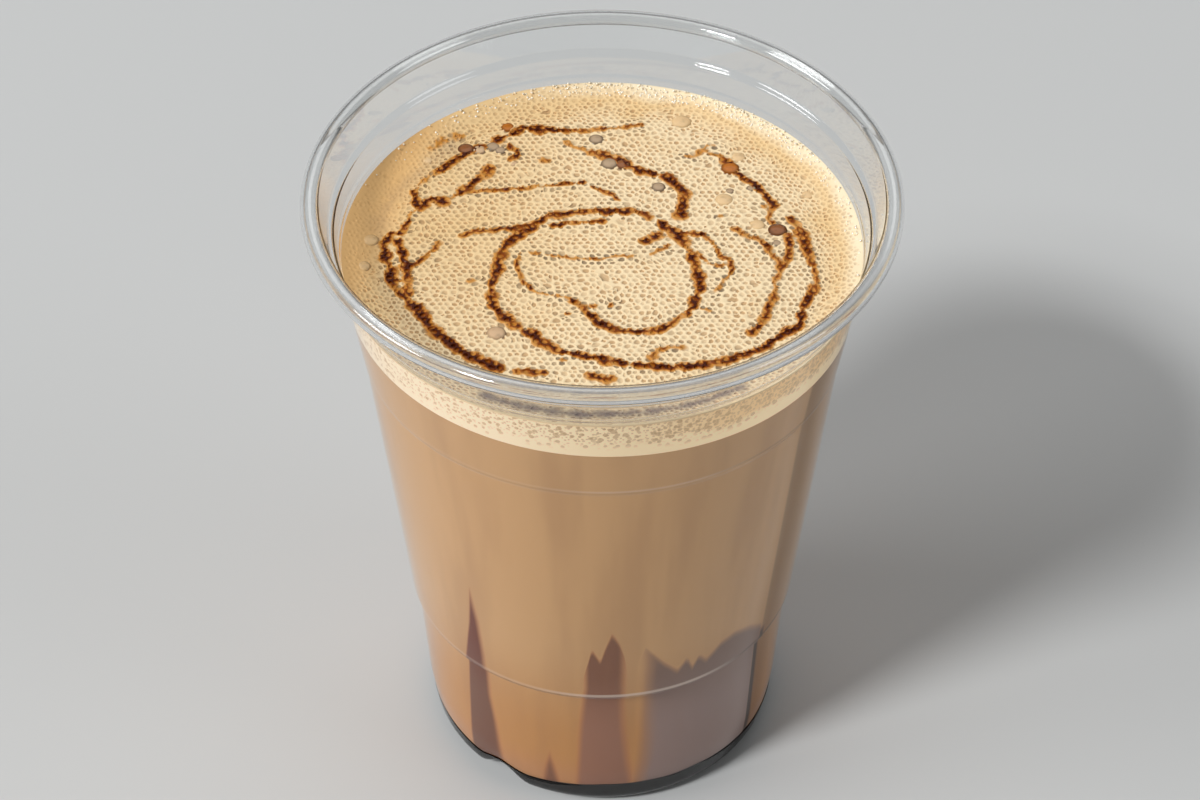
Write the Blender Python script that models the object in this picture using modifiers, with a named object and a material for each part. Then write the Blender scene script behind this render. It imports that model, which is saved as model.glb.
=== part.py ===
"""A chocolate milkshake in its clear plastic cup: drink, foam with drizzled syrup and syrup at the foot.

The cup stands at the origin with its foot on z = 0. The front of the drink looks along -Y.
Angles round the cup are in degrees, counted from +X towards +Y, so the front is at -90.
"""
import math

import bmesh
import bpy

MM = 0.001

# Cup. The wall line gives the outside: height and radius at each crease, from the foot up.
CUP_HEIGHT = 114.0 * MM
RIM_RADIUS = 47.5 * MM
BEAD_RADIUS = 1.5 * MM
WALL = 0.5 * MM
WALL_LINE = [(height * MM, radius * MM) for height, radius in (
    (3.0, 29.9),      # foot corner
    (9.0, 30.75),
    (31.6, 32.35),    # under the stacking ledge
    (32.5, 33.25),    # over the ledge, where the main cone starts
    (85.7, 39.2),     # faint ring
    (86.3, 39.5),
    (103.4, 42.2),    # ring under the lip
    (104.0, 42.5),
    (107.5, 43.0),    # the lip starts to flare
)]
LIP_HEIGHT = WALL_LINE[-1][0]
FOOT_CORNER = 3.0 * MM        # radius of the rounded corner between wall and foot
FOOT_LAND = 1.0 * MM          # width of the flat ring that the cup stands on
GROOVE_CORNER = 2.4 * MM      # radius between that ring and the raised base
BASE_RISE = 3.9 * MM          # underside of the raised base over the table
BASE_SLANT = 0.8 * MM         # the raised base meets the groove in a small slant
BASE_SLANT_FOOT = 0.24 * MM
VENT_ANGLES = (-126.0, 54.0)
VENT_HALF_WIDTH = 11.0        # degrees
VENT_LIFT = 3.5 * MM
VENT_REACH = 6.0 * MM         # the foot is pressed up only below this height

# Contents
GAP = 0.3 * MM                # between touching pieces
DRINK_TOP = 95.7 * MM
FOAM_TOP = 101.0 * MM
FOAM_CLIMB = 1.3 * MM         # how far the foam climbs the wall
FOAM_CLIMB_START = 35.0 * MM  # radius where it starts to climb
FOAM_CLIMB_STEP = 2.0 * MM
POOL_LEVEL = 6.0 * MM         # settled syrup
POOL_GAP = 0.45 * MM          # under the pool, where the vents press the foot up
FILM = 0.9 * MM               # syrup that clings to the wall
FILM_TOP = 58.0 * MM
CREST_MIN = 1.0 * MM          # the film's lowest edge over the pool
CREST_START = 26.0 * MM       # radius where the flat middle of the crest ends
CREST_STEP = 2.0 * MM
CUTTER_RADIUS = 60.0 * MM     # clear of the cup
CUTTER_BOTTOM = -5.0 * MM

# Streaks of syrup on the wall: angle and height of the tip, reach to the left and to the right at the pool
# in degrees, and roundness: 1 for straight sides, near 0 for a flat top with steep sides.
STREAKS = (
    (-129.0, 51.5, 10.0, 6.0, 1.0),
    (-108.0, 16.3, 3.5, 3.5, 0.8),
    (-93.0, 45.3, 6.0, 4.0, 0.4),
    (-87.0, 48.9, 4.0, 7.0, 0.35),
    (-78.0, 44.5, 2.5, 14.0, 0.7),
    (-60.0, 37.0, 20.0, 21.0, 0.08),
    (-9.0, 22.0, 6.0, 9.0, 0.6),
    (15.0, 41.0, 8.0, 5.0, 0.9),
    (45.0, 30.0, 12.0, 7.0, 0.3),
    (81.0, 47.0, 4.0, 9.0, 1.0),
    (114.0, 26.0, 14.0, 12.0, 0.2),
    (159.0, 38.0, 6.0, 6.0, 0.5),
    (192.0, 19.0, 5.0, 7.0, 0.8),
)

# Syrup drizzled on the foam: half width in mm, then the angle and radius in mm of its points.
STROKES = (
    (0.8, ((79, 32.0), (98, 31.5), (113, 33.2), (129, 32.7))),
    (1.1, ((129, 32.7), (147, 33.8), (159, 32.2), (152, 28.1), (142, 26.0), (133, 26.9))),
    (0.7, ((145, 25.7), (132, 21.5), (118, 18.4), (102, 17.4))),
    (0.7, ((99, 16.5), (88, 15.0), (77, 12.3))),
    (1.1, ((101, 27.0), (87, 23.8), (68, 21.2), (48, 20.0), (38, 17.0))),
    (0.8, ((62, 29.2), (49, 30.2), (29, 29.8), (15, 30.1), (5, 33.2), (350, 34.2), (330, 34.9), (305, 32.3),
           (292, 29.4), (275, 26.7))),
    (1.1, ((275, 26.7), (257, 25.0), (240, 22.7), (220, 22.0), (204, 19.9), (186, 16.7), (163, 13.5),
           (141, 11.6))),
    (1.1, ((141, 11.6), (114, 9.8), (83, 10.0), (55, 11.5))),
    (0.8, ((171, 22.2), (156, 14.3), (138, 11.4))),
    (1.1, ((34, 11.7), (11, 13.8), (351, 14.9), (335, 16.8), (321, 18.8), (300, 20.0), (285, 19.6),
           (268, 17.5), (252, 13.1))),
    (0.6, ((252, 13.1), (222, 14.5), (206, 14.5), (190, 14.3), (185, 10.3), (196, 5.4), (270, 2.4),
           (346, 4.7), (8, 9.0))),
    (0.7, ((18, 14.9), (8, 18.2), (356, 18.6), (349, 21.2), (331, 20.6))),
    (1.1, ((15, 21.6), (5, 25.2), (354, 29.0), (342, 28.8), (332, 29.9), (321, 30.6))),
    (0.8, ((5, 33.2), (356, 30.8), (354, 29.0))),
    (1.3, ((159, 32.2), (169, 32.4), (178, 34.3), (192, 34.4), (205, 32.8), (220, 32.1), (236, 32.1))),
    (1.0, ((172, 32.6), (186, 31.4), (204, 32.5))),
    (0.8, ((188, 31.0), (183, 27.6), (176, 25.5))),
    (0.7, ((245, 31.2), (254, 30.1))),
    (1.4, ((242, 38.2), (258, 37.9), (272, 37.8), (288, 37.7), (303, 38.0))),
)
STROKE_STEP = 3.0 * MM
STROKE_FLATTEN = 0.42         # a stroke's height over its half width
STROKE_END = 0.6              # its width at both ends, as a share

# Large bubbles standing on the foam: angle, radius and half width in mm.
BUBBLES = (
    (92, 28.2, 1.35), (87, 22.2, 1.5), (61, 18.7, 1.5), (45, 29.5, 1.8), (33, 23.6, 1.7), (13, 25.8, 1.4),
    (11, 29.2, 1.6), (230, 25.6, 1.9), (29, 31.6, 1.1), (134, 30.5, 1.3), (68, 36.4, 1.9), (3, 38.0, 1.1),
)
BUBBLE_FLATTEN = 0.32

TURN_STEPS = 60
CREST_STEPS = 120
CORNER_STEPS = 3
GROOVE_STEPS = 2
BEAD_STEPS = 7
SMOOTH_ANGLE = math.radians(40)
FOAM_SMOOTH_ANGLE = math.radians(15)
MERGE = 0.00001


def clear_scene():
    for obj in list(bpy.data.objects):
        bpy.data.objects.remove(obj, do_unlink=True)


def new_collection(name):
    collection = bpy.data.collections.new(name)
    bpy.context.scene.collection.children.link(collection)
    return collection


def plain_material(name, colour, roughness, transmission=0.0):
    material = bpy.data.materials.new(name)
    material.use_nodes = True
    shader = material.node_tree.nodes["Principled BSDF"]
    shader.inputs["Base Color"].default_value = (*colour, 1.0)
    shader.inputs["Roughness"].default_value = roughness
    shader.inputs["Metallic"].default_value = 0.0
    shader.inputs["Transmission Weight"].default_value = transmission
    return material


def add_object(name, mesh, collection, material=None):
    obj = bpy.data.objects.new(name, mesh)
    collection.objects.link(obj)
    if material:
        mesh.materials.append(material)
    return obj


def as_cutter(obj):
    obj.hide_render = True
    obj.display_type = "WIRE"
    return obj


def freeze(obj):
    """Keeps the object's mesh as its modifiers make it, and drops them."""
    bpy.context.view_layer.update()
    evaluated = obj.evaluated_get(bpy.context.evaluated_depsgraph_get())
    mesh = bpy.data.meshes.new_from_object(evaluated)
    old = obj.data
    obj.modifiers.clear()
    obj.data = mesh
    bpy.data.meshes.remove(old)
    return obj


def shade_round(obj, angle=SMOOTH_ANGLE):
    obj.data.shade_smooth()
    obj.data.set_sharp_from_angle(angle=angle)


def turned(name, profile, collection, material=None, steps=TURN_STEPS, closed=False):
    """Turns a profile of (radius, height) points, which runs down its outer side, about the cup's axis."""
    mesh = bpy.data.meshes.new(name)
    edges = [(i, i + 1) for i in range(len(profile) - 1)]
    if closed:
        edges.append((len(profile) - 1, 0))
    mesh.from_pydata([(radius, 0.0, height) for radius, height in profile], edges, [])
    obj = add_object(name, mesh, collection, material)
    screw = obj.modifiers.new("Turn", "SCREW")
    screw.axis = "Z"
    screw.angle = math.tau
    screw.steps = screw.render_steps = steps
    screw.use_merge_vertices = True
    screw.merge_threshold = MERGE
    return freeze(obj)


def cut(obj, cutter, operation, solver="EXACT"):
    boolean = obj.modifiers.new(operation.title(), "BOOLEAN")
    boolean.operation = operation
    boolean.solver = solver
    boolean.object = cutter
    freeze(obj)


def arc(centre, radius, start, end, steps):
    """Points on a round corner of a profile, from one angle to another in degrees, both ends included."""
    angles = [math.radians(start + (end - start) * i / steps) for i in range(steps + 1)]
    return [(centre[0] + radius * math.cos(a), centre[1] + radius * math.sin(a)) for a in angles]


def outer_radius(height):
    line = WALL_LINE
    if height <= line[0][0]:
        return line[0][1]
    for (low, low_radius), (high, high_radius) in zip(line, line[1:]):
        if height <= high:
            return low_radius + (high_radius - low_radius) * (height - low) / (high - low)
    return line[-1][1]


def wall_points(offset, low, high):
    """The wall line's own points between two heights, moved inwards by the offset, with both ends added."""
    heights = [low] + [h for h, _ in WALL_LINE if low < h < high] + [high]
    return [(outer_radius(h) - offset, h) for h in heights]


def angle_between(a, b):
    return (a - b + 180.0) % 360.0 - 180.0


def vent_lift(angle):
    lift = 0.0
    for centre in VENT_ANGLES:
        away = abs(angle_between(angle, centre))
        if away < VENT_HALF_WIDTH:
            lift = VENT_LIFT * 0.5 * (1.0 + math.cos(math.pi * away / VENT_HALF_WIDTH))
    return lift


def press_vents(obj):
    """Presses the foot up at each vent, most at the table and not at all at the raised base."""
    still = outer_radius(0.0) - FOOT_CORNER - FOOT_LAND - GROOVE_CORNER - WALL
    for vertex in obj.data.vertices:
        x, y, z = vertex.co
        low = min(1.0, (VENT_REACH - z) / (VENT_REACH - WALL))
        outward = min(1.0, (math.hypot(x, y) - still) / GROOVE_CORNER)
        if low > 0.0 and outward > 0.0:
            vertex.co.z += vent_lift(math.degrees(math.atan2(y, x))) * low * outward


def foot_profile(offset):
    """From the wall's foot corner, round the ring that stands on the table, to the base's middle."""
    corner = (outer_radius(0.0) - FOOT_CORNER, FOOT_CORNER)
    groove = (corner[0] - FOOT_LAND, GROOVE_CORNER)
    points = arc(corner, FOOT_CORNER - offset, 0, -90, CORNER_STEPS)
    points += arc(groove, GROOVE_CORNER - offset, -90, -180, GROOVE_STEPS)
    inner_side = groove[0] - GROOVE_CORNER + offset
    rise = BASE_RISE + offset
    slant = (inner_side - BASE_SLANT_FOOT, rise - BASE_SLANT)
    return points + [slant, (inner_side - BASE_SLANT, rise), (0.0, rise)]


def make_cup(collection):
    bead_centre = (RIM_RADIUS - BEAD_RADIUS, CUP_HEIGHT - BEAD_RADIUS)
    inner_foot = list(reversed(foot_profile(WALL)))
    inner_wall = wall_points(WALL, FOOT_CORNER, LIP_HEIGHT)[1:]
    bead = arc(bead_centre, BEAD_RADIUS, 180, -135, BEAD_STEPS)
    outer_wall = list(reversed(wall_points(0.0, FOOT_CORNER, LIP_HEIGHT)))[:-1]
    profile = inner_foot + inner_wall + bead + outer_wall + foot_profile(0.0)
    material = plain_material("clear_pet", (0.93, 0.95, 0.96), 0.05, transmission=1.0)
    cup = turned("cup", profile, collection, material)
    press_vents(cup)
    shade_round(cup)
    return cup


def streak_height(angle):
    """How high the syrup stands on the wall at this angle."""
    top = POOL_LEVEL + CREST_MIN
    for tip_angle, tip_height, left, right, roundness in STREAKS:
        away = angle_between(angle, tip_angle)
        share = abs(away) / (right if away > 0 else left)
        if share < 1.0:
            rise = tip_height * MM - POOL_LEVEL
            top = max(top, POOL_LEVEL + rise * (1.0 - share) ** roundness)
    return top


def crest_height(angle, room):
    """The streaks' height, with this much room over them and beside them."""
    beside = math.degrees(room / outer_radius(0.0))
    return max(streak_height(angle + turn) for turn in (-beside, 0.0, beside)) + room


def crest_block(name, extra, collection):
    """Everything below the syrup's crest, raised by extra, to which the film and its room are cut."""
    crest = FILM_TOP + CREST_STEP
    edge = CREST_START + CREST_STEP
    profile = [(0.0, crest), (CREST_START, crest), (edge, FILM_TOP), (CUTTER_RADIUS, FILM_TOP),
               (CUTTER_RADIUS, CUTTER_BOTTOM), (0.0, CUTTER_BOTTOM)]
    block = turned(name, profile, collection, steps=CREST_STEPS)
    for vertex in block.data.vertices:
        x, y, z = vertex.co
        if math.hypot(x, y) > CREST_START + 0.5 * CREST_STEP and z > 0.0:
            vertex.co.z = crest_height(math.degrees(math.atan2(y, x)), extra)
    shape = bmesh.new()
    shape.from_mesh(block.data)
    bmesh.ops.triangulate(shape, faces=shape.faces, quad_method="FIXED")
    shape.to_mesh(block.data)
    shape.free()
    return as_cutter(block)


def make_syrup(collection, cutters):
    """The pool in the foot's groove, with the film that climbs the wall in streaks."""
    film_outer = WALL + GAP
    film_inner = film_outer + FILM
    profile = [(0.0, POOL_LEVEL)] + wall_points(film_inner, POOL_LEVEL, FILM_TOP)
    profile += list(reversed(wall_points(film_outer, POOL_LEVEL, FILM_TOP)))
    profile += foot_profile(WALL + POOL_GAP)
    material = plain_material("syrup_brown", (0.045, 0.018, 0.010), 0.25)
    syrup = turned("syrup", profile, collection, material)
    press_vents(syrup)
    cut(syrup, crest_block("syrup_crest", 0.0, cutters), "INTERSECT")
    shade_round(syrup)
    return syrup


def make_milkshake(collection, cutters):
    room = WALL + GAP + FILM + GAP
    bottom = POOL_LEVEL + GAP
    sleeve_profile = wall_points(room, 0.0, FILM_TOP) + [(CUTTER_RADIUS, FILM_TOP), (CUTTER_RADIUS, 0.0)]
    sleeve = as_cutter(turned("film_room", sleeve_profile, cutters, closed=True))
    cut(sleeve, crest_block("film_room_crest", GAP, cutters), "INTERSECT")
    top = DRINK_TOP - 0.5 * GAP
    side = list(reversed(wall_points(WALL + GAP, bottom, top)))
    material = plain_material("milk_chocolate", (0.45, 0.27, 0.15), 0.45)
    drink = turned("milkshake", [(0.0, top)] + side + [(0.0, bottom)], collection, material)
    cut(drink, sleeve, "DIFFERENCE", solver="MANIFOLD")
    shade_round(drink)
    return drink


def foam_top(radius):
    climb = max(0.0, radius - FOAM_CLIMB_START) / (outer_radius(FOAM_TOP) - WALL - GAP - FOAM_CLIMB_START)
    return FOAM_TOP + FOAM_CLIMB * climb * climb


def lay_on_foam(mesh, flatten):
    """Flattens a mesh made about z = 0 and lays it on the foam's surface."""
    for vertex in mesh.vertices:
        x, y, z = vertex.co
        vertex.co.z = foam_top(math.hypot(x, y)) + z * flatten


def stroke_route(knots):
    """A smooth line through the knots, with a point about every STROKE_STEP."""
    points = [(radius * MM * math.cos(math.radians(angle)), radius * MM * math.sin(math.radians(angle)))
              for angle, radius in knots]
    ends = [tuple(2 * a - b for a, b in zip(points[0], points[1]))] + points
    ends.append(tuple(2 * a - b for a, b in zip(points[-1], points[-2])))
    route = []
    for before, start, end, after in zip(ends, ends[1:], ends[2:], ends[3:]):
        count = max(1, round(math.dist(start, end) / STROKE_STEP))
        for i in range(count):
            t = i / count
            route.append(tuple(0.5 * (2 * s + (e - b) * t + (2 * b - 5 * s + 4 * e - a) * t * t
                                      + (3 * s - b - 3 * e + a) * t ** 3)
                               for b, s, e, a in zip(before, start, end, after)))
    return route + [points[-1]]


def make_stroke(name, half_width, knots, collection):
    route = stroke_route(knots)
    curve = bpy.data.curves.new(name, "CURVE")
    curve.dimensions = "3D"
    curve.bevel_depth = half_width * MM
    curve.bevel_resolution = 1
    curve.use_fill_caps = True
    spline = curve.splines.new("POLY")
    spline.points.add(len(route) - 1)
    for point, (x, y) in zip(spline.points, route):
        point.co = (x, y, 0.0, 1.0)
    spline.points[0].radius = spline.points[-1].radius = STROKE_END
    rope = bpy.data.objects.new(name + "_curve", curve)
    collection.objects.link(rope)
    bpy.context.view_layer.update()
    mesh = bpy.data.meshes.new_from_object(rope.evaluated_get(bpy.context.evaluated_depsgraph_get()))
    bpy.data.objects.remove(rope, do_unlink=True)
    shape = bmesh.new()
    shape.from_mesh(mesh)
    bmesh.ops.remove_doubles(shape, verts=shape.verts, dist=MERGE)
    shape.to_mesh(mesh)
    shape.free()
    lay_on_foam(mesh, STROKE_FLATTEN)
    return add_object(name, mesh, collection)


def make_bubble(name, angle, radius, half_width, collection):
    mesh = bpy.data.meshes.new(name)
    shape = bmesh.new()
    bmesh.ops.create_icosphere(shape, subdivisions=2, radius=half_width * MM)
    turn = math.radians(angle)
    bmesh.ops.translate(shape, verts=shape.verts,
                        vec=(radius * MM * math.cos(turn), radius * MM * math.sin(turn), 0.0))
    shape.to_mesh(mesh)
    shape.free()
    lay_on_foam(mesh, BUBBLE_FLATTEN)
    return add_object(name, mesh, collection)


def make_foam(collection):
    """The foam's layer, with the drizzled syrup and the large bubbles fused to its top."""
    side = WALL + GAP
    edge_height = FOAM_TOP + FOAM_CLIMB
    climb = [FOAM_CLIMB_START + i * FOAM_CLIMB_STEP for i in range(3)]
    top = [(radius, foam_top(radius)) for radius in [0.0] + climb]
    wall = list(reversed(wall_points(side, DRINK_TOP + 0.5 * GAP, edge_height)))
    material = plain_material("foam_cream", (0.86, 0.66, 0.40), 0.6)
    foam = turned("foam", top + wall + [(0.0, DRINK_TOP + 0.5 * GAP)], collection, material)
    toppings = new_collection("toppings")
    for number, (half_width, knots) in enumerate(STROKES):
        make_stroke(f"stroke_{number}", half_width, knots, toppings)
    for number, bubble in enumerate(BUBBLES):
        make_bubble(f"bubble_{number}", *bubble, toppings)
    union = foam.modifiers.new("Fuse", "BOOLEAN")
    union.operation = "UNION"
    union.operand_type = "COLLECTION"
    union.collection = toppings
    union.solver = "EXACT"
    freeze(foam)
    for obj in list(toppings.objects):
        bpy.data.objects.remove(obj, do_unlink=True)
    bpy.data.collections.remove(toppings)
    shade_round(foam, FOAM_SMOOTH_ANGLE)
    return foam


def main():
    clear_scene()
    parts = new_collection("chocolate_milkshake")
    cutters = new_collection("cutters")
    make_cup(parts)
    make_syrup(parts, cutters)
    make_milkshake(parts, cutters)
    make_foam(parts)


main()
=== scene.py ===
# Looks for a chocolate milkshake in a clear plastic cup: cup, drink, foam with drizzle, syrup at the foot.
# Lengths in the dictionaries are millimetres, angles degrees from +X towards +Y, colours screen values.
import math
import random

import bmesh
import bpy
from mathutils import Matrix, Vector, noise
from mathutils.kdtree import KDTree


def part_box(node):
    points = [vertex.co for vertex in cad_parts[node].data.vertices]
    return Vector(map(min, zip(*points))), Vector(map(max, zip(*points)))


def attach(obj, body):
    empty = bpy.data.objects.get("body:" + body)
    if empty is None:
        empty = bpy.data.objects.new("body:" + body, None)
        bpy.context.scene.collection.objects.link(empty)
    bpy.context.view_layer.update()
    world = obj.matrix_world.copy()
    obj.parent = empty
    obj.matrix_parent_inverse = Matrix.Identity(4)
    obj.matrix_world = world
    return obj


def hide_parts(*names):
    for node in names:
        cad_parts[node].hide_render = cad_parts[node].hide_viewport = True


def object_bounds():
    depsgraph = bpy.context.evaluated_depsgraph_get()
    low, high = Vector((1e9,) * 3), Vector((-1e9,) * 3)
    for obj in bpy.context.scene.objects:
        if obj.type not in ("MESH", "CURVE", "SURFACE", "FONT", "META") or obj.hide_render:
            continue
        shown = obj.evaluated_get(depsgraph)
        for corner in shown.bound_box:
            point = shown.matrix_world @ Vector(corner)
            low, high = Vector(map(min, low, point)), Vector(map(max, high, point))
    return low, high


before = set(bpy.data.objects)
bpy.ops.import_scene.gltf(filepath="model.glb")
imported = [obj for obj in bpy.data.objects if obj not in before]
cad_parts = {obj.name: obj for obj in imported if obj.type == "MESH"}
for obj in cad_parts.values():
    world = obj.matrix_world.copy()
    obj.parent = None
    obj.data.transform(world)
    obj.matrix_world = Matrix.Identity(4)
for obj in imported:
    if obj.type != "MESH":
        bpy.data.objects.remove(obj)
cadLow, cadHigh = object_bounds()
mm = 0.001
rimRadius = cadHigh.x / mm
cupHeight = cadHigh.z / mm
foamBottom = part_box("foam")[0].z / mm


# Camera and light

photoView = {"lens": 102.84, "sensor": 36.0, "place": (-0.35, -414.6, 459.5), "tilt": 46.66}
lamps = {
    "keyLamp": {"azimuth": 218.6, "elevation": 45.7, "distance": 5000, "size": (1050, 540), "power": 165},
    "sideLamp": {"azimuth": 187.0, "elevation": 30.0, "distance": 5000, "size": (2500, 1700), "power": 74},
    "topLamp": {"azimuth": 90.0, "elevation": 58.0, "distance": 4000, "size": (4200, 3000), "power": 35},
    "backLamp": {"azimuth": 90.0, "elevation": 20.0, "distance": 6000, "size": (8000, 3000), "power": 8},
    "rightLamp": {"azimuth": -20.0, "elevation": 30.0, "distance": 4000, "size": (2000, 2000), "power": 20},
}
roomLight = {"colour": (255, 255, 255), "strength": 0.11}


def screenColour(red, green, blue):
    # the shader's own numbers for a colour as it is picked on a screen
    shares = [value / 255 for value in (red, green, blue)]
    return tuple(s / 12.92 if s <= 0.04045 else ((s + 0.055) / 1.055) ** 2.4 for s in shares)


def linkToScene(thing):
    bpy.context.scene.collection.objects.link(thing)
    return thing


def makeCamera():
    data = bpy.data.cameras.new("photoCamera")
    data.lens = photoView["lens"]
    data.sensor_width = photoView["sensor"]
    camera = linkToScene(bpy.data.objects.new("photoCamera", data))
    camera.location = Vector(photoView["place"]) * mm
    camera.rotation_euler = (math.radians(photoView["tilt"]), 0, 0)
    bpy.context.scene.camera = camera


def makeLamps():
    for name, lamp in lamps.items():
        data = bpy.data.lights.new(name, "AREA")
        data.shape = "ELLIPSE"
        data.size, data.size_y = lamp["size"][0] * mm, lamp["size"][1] * mm
        data.energy = lamp["power"]
        turn, rise = math.radians(lamp["azimuth"]), math.radians(lamp["elevation"])
        away = Vector((math.cos(rise) * math.cos(turn), math.cos(rise) * math.sin(turn), math.sin(rise)))
        light = linkToScene(bpy.data.objects.new(name, data))
        light.location = away * lamp["distance"] * mm
        light.rotation_euler = away.to_track_quat("Z", "Y").to_euler()


def lightRoom():
    world = bpy.data.worlds.new("room")
    world.use_nodes = True
    back = world.node_tree.nodes["Background"]
    back.inputs["Color"].default_value = (*screenColour(*roomLight["colour"]), 1)
    back.inputs["Strength"].default_value = roomLight["strength"]
    bpy.context.scene.world = world
    bpy.context.scene.view_settings.view_transform = "Standard"
    bpy.context.scene.cycles.caustics_reflective = False
    bpy.context.scene.cycles.caustics_refractive = False


# Materials

class Amount:  # a number from a node, so that shader sums can be written as plain expressions
    def __init__(self, paint, socket):
        self.paint = paint
        self.socket = socket

    def sum(self, operation, first, second):
        return self.paint.add("ShaderNodeMath", {"operation": operation}, {0: first, 1: second})

    def __add__(self, other):
        return self.sum("ADD", self, other)

    def __radd__(self, other):
        return self.sum("ADD", other, self)

    def __sub__(self, other):
        return self.sum("SUBTRACT", self, other)

    def __rsub__(self, other):
        return self.sum("SUBTRACT", other, self)

    def __mul__(self, other):
        return self.sum("MULTIPLY", self, other)

    def __rmul__(self, other):
        return self.sum("MULTIPLY", other, self)


class Paint:  # one material: its nodes, and the Principled shader that they feed
    def __init__(self, name, **settings):
        self.material = bpy.data.materials.new(name)
        self.material.use_nodes = True
        self.tree = self.material.node_tree
        self.shader = self.tree.nodes["Principled BSDF"]
        self.fill(self.shader, settings)

    def fill(self, node, values):
        for key, value in values.items():
            socket = node.inputs[key]
            if isinstance(value, Amount):
                self.tree.links.new(value.socket, socket)
            elif socket.type == "RGBA":
                socket.default_value = (*value[:3], 1)
            else:
                socket.default_value = value

    def add(self, kind, settings=None, values=None, output=0):
        node = self.tree.nodes.new(kind)
        for key, value in (settings or {}).items():
            setattr(node, key, value)
        self.fill(node, values or {})
        return Amount(self, node.outputs[output])

    def blend(self, share, first, second, how="MIX"):
        settings = {"data_type": "RGBA", "blend_type": how}
        return self.add("ShaderNodeMix", settings, {0: share, 6: first, 7: second}, 2)

    def step(self, value, low, high):
        settings = {"interpolation_type": "SMOOTHSTEP"}
        return self.add("ShaderNodeMapRange", settings, {0: value, 1: low, 2: high})

    def stepAt(self, value, span):
        # the same between two places, given in millimetres
        return self.step(value, span[0] * mm, span[1] * mm)

    def layer(self, name):
        return self.add("ShaderNodeAttribute", {"attribute_name": name}, output="Fac")

    def layerColour(self, name):
        return self.add("ShaderNodeAttribute", {"attribute_name": name}, output="Color")

    def place(self):
        return self.add("ShaderNodeTexCoord", output="Object")

    def axis(self, place, which):
        return self.add("ShaderNodeSeparateXYZ", None, {0: place}, which)

    def stretched(self, place, scale):
        return self.add("ShaderNodeVectorMath", {"operation": "MULTIPLY"}, {0: place, 1: scale})

    def noise(self, place, scale, detail=2.0):
        values = {"Vector": place, "Scale": scale, "Detail": detail}
        return self.add("ShaderNodeTexNoise", None, values, "Fac")

    def spots(self, place, scale, randomness):
        values = {"Vector": place, "Scale": scale, "Randomness": randomness}
        return self.add("ShaderNodeTexVoronoi", None, values, "Distance")


# Shared shapes

tiny = 0.01  # millimetres; two places nearer than this are one
cupShape = {
    "wall": 0.5,
    "creases": [  # height, outer radius, rounding
        (3.0, 29.9, 0.0), (9.0, 30.75, 1.5), (30.2, 32.25, 0.3), (31.1, 33.1, 0.3), (84.7, 39.09, 0.25),
        (85.3, 39.34, 0.25), (103.4, 42.2, 0.25), (104.0, 42.5, 0.25), (107.4, 43.0, 0.42),
        (107.9, 43.8, 0.42),
    ],
    "roundingSteps": 4, "turns": 256,
    "footCorner": 3.0, "footLand": 1.0, "grooveCorner": 2.4, "cornerSteps": 8,
    "baseRise": 3.9, "baseSlant": 0.8, "baseSlantFoot": 0.24,
    "rimTube": 1.5, "curlStart": 165, "curlEnd": -60, "curlSteps": 26, "coreGap": 0.04, "coreSides": 24,
    "vents": (-126, 54), "ventHalfWidth": 11, "ventLift": 3.5, "ventReach": 6.0,
}
contents = {  # how far each piece reaches into the wall, and how glossy it is where it wets the wall
    "drinkBite": 0.10, "streakBite": 0.12, "poolBite": 0.4, "foamBite": 0.14, "wetGloss": 0.05,
    # the foam's edge at the wall hangs lower than its solid, and leans up to the left
    "foamDrop": 1.1, "foamTilt": 0.95, "tiltFrom": 10,
}
foamEdge = foamBottom - contents["foamDrop"]


def along(knots, at):
    # the value at a place on a line through pairs of place and value
    for (low, first), (high, second) in zip(knots, knots[1:]):
        if at <= high:
            return first + (second - first) * max(0, at - low) / (high - low)
    return knots[-1][1]


def outerRadius(height):
    return along([(level, radius) for level, radius, _ in cupShape["creases"]], height)


def arc(centre, radius, start, end, steps):
    angles = [math.radians(start + (end - start) * i / steps) for i in range(steps + 1)]
    return [(centre[0] + radius * math.cos(a), centre[1] + radius * math.sin(a), 0.0) for a in angles]


def wallLine(inset, low, high):
    # the wall's creases between two heights, moved in, with both ends: radius, height, rounding
    inner = [(radius - inset, height, rounding) for height, radius, rounding in cupShape["creases"]
             if low < height < high]
    return [(outerRadius(low) - inset, low, 0.0)] + inner + [(outerRadius(high) - inset, high, 0.0)]


def footLine(inset):
    # from the middle of the raised base round the ring that stands on the table to the wall
    corner = (outerRadius(0) - cupShape["footCorner"], cupShape["footCorner"])
    groove = (corner[0] - cupShape["footLand"], cupShape["grooveCorner"])
    side = groove[0] - cupShape["grooveCorner"] + inset
    rise, slant = cupShape["baseRise"] + inset, cupShape["baseSlant"]
    line = [(0.0, rise, 0.0), (side - slant, rise, 0.0)]
    line += [(side - cupShape["baseSlantFoot"], rise - slant, 0.0)]
    line += arc(groove, cupShape["grooveCorner"] - inset, 180, 270, cupShape["cornerSteps"])
    return line + arc(corner, cupShape["footCorner"] - inset, -90, 0, cupShape["cornerSteps"])


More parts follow.
